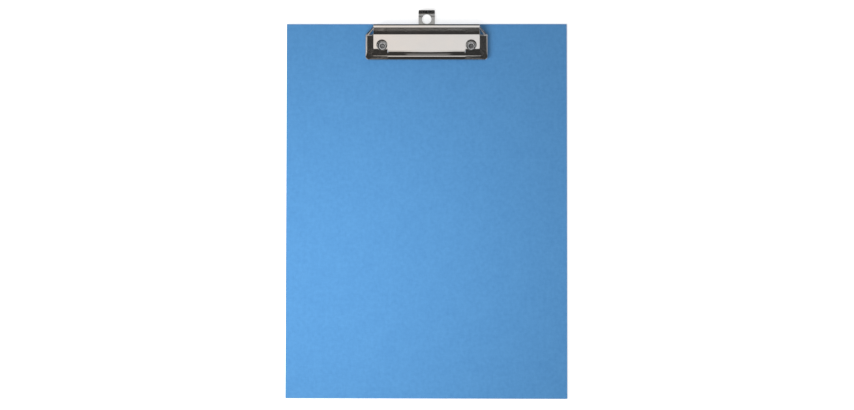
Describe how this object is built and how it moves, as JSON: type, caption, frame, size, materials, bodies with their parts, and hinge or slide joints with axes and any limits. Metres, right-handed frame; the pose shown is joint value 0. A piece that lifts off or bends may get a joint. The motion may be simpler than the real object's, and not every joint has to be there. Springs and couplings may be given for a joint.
{
  "type": "clipboard",
  "caption": "Portrait paper-covered board with a low sprung metal clip at the top and a hanging hook that slides out past the edge.",
  "frame": {"origin": "centre of the board's flat back face, on which it lies", "axes": "+X to the right, +Y along the board towards the clip, +Z out of the front face"},
  "size_m": [0.24, 0.3316, 0.0158],
  "materials": {
    "greyboard": "solid grey pulp board, rough cut edges",
    "cover_paper": "mottled blue covering paper, matt",
    "liner_paper": "mottled blue covering paper, matt",
    "base_steel": "nickel-plated pressed steel",
    "jaw_plating": "bright nickel-plated pressed steel",
    "pin_steel": "drawn steel rod",
    "spring_steel": "drawn spring wire",
    "rivet_plating": "nickel-plated tubular rivet",
    "hook_plating": "nickel-plated pressed steel, a little dull"
  },
  "bodies": {
    "board": {"board_core": "greyboard", "front_cover": "cover_paper", "back_liner": "liner_paper", "base_plate": "base_steel", "hinge_pin": "pin_steel", "torsion_spring": "spring_steel", "rivet_left": "rivet_plating", "rivet_right": "rivet_plating"},
    "jaw": {"jaw": "jaw_plating"},
    "hook": {"hanging_hook": "hook_plating"}
  },
  "joints": [
    {"name": "jaw_hinge", "type": "hinge", "parent": "board", "child": "jaw", "pos_m": [0, 0.149, 0.008], "axis": [-1, 0, 0], "range_deg": [0, 30], "stiffness_Nm_per_rad": 0.35, "springref_deg": -34.38, "deforming": ["torsion_spring"]},
    {"name": "hook_slide", "type": "slide", "parent": "board", "child": "hook", "axis": [0, -1, 0], "range_m": [0, 0.0104]}
  ]
}
